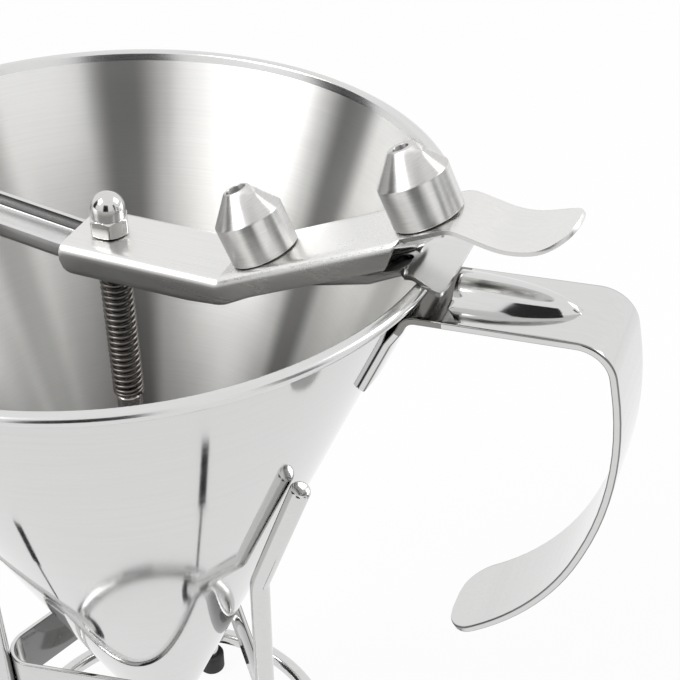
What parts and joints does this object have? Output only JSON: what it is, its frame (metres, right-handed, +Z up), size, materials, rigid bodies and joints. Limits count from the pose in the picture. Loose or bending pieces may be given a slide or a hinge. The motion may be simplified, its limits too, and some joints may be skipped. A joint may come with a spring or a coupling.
{
  "type": "piston funnel batter dispenser",
  "caption": "Steel piston funnel for portioning pancake batter: cone with rolled rim, strap handle, thumb lever with parked spare nozzles, sprung piston rod and three-legged rod stand.",
  "frame": {"origin": "centre of the bounding box's base, on the table plane under the stand's feet; the funnel's axis stands at x = -25.47 mm", "axes": "+Z up along the funnel's axis, +X towards the handle and the thumb tab, +Y to the left of someone looking along +X"},
  "size_m": [0.2409, 0.19, 0.2816],
  "materials": {
    "polished_sheet": "polished sheet, brushed in rings on the inside of the cone",
    "satin_sheet": "satin, polished on its upper face",
    "turned_steel": "turned and polished",
    "rod_steel": "polished rod",
    "spring_steel": "dark drawn wire",
    "foot_rubber": "matt black"
  },
  "bodies": {
    "stand": {"stand_hoop": "polished_sheet", "stand_ring": "rod_steel", "right_leg": "rod_steel", "rear_leg": "rod_steel", "left_leg": "rod_steel", "right_foot": "foot_rubber", "rear_foot": "foot_rubber", "left_foot": "foot_rubber"},
    "funnel": {"funnel_cone": "polished_sheet", "outlet_hub": "polished_sheet", "bridge_bar": "polished_sheet", "guide_bush": "turned_steel", "handle_strap": "polished_sheet", "return_spring": "spring_steel"},
    "outlet_nozzle_body": {"outlet_nozzle": "turned_steel"},
    "lever_body": {"lever": "satin_sheet", "pivot_pin": "satin_sheet", "inner_peg": "turned_steel", "outer_peg": "turned_steel"},
    "wide_nozzle_body": {"wide_nozzle": "turned_steel"},
    "fine_nozzle_body": {"fine_nozzle": "turned_steel"},
    "piston": {"piston_rod": "rod_steel", "valve_plug": "turned_steel", "acorn_nut": "turned_steel"}
  },
  "joints": [
    {"name": "funnel_lift", "type": "slide", "parent": "stand", "child": "funnel", "axis": [0, 0, 1], "range_m": [0, 0.15]},
    {"name": "outlet_nozzle_pull", "type": "slide", "parent": "funnel", "child": "outlet_nozzle_body", "axis": [0, 0, -1], "range_m": [0, 0.012]},
    {"name": "lever_hinge", "type": "hinge", "parent": "funnel", "child": "lever_body", "pos_m": [0.00853, 0, 0.2334], "axis": [0, 1, 0], "range_deg": [0, 8.5], "stiffness_Nm_per_rad": 2.7, "springref_deg": -11.46},
    {"name": "wide_nozzle_lift", "type": "slide", "parent": "lever_body", "child": "wide_nozzle_body", "axis": [-0.4226, 0, 0.9063], "range_m": [0, 0.02]},
    {"name": "fine_nozzle_lift", "type": "slide", "parent": "lever_body", "child": "fine_nozzle_body", "axis": [-0.4226, 0, 0.9063], "range_m": [0, 0.02]},
    {"name": "piston_slide", "type": "slide", "parent": "funnel", "child": "piston", "axis": [0, 0, 1], "range_m": [0, 0.006], "deforming": ["return_spring"]}
  ],
  "couplings": [
    {"joint": "piston_slide", "follows": "lever_hinge", "m_per_rad": 0.0398}
  ]
}
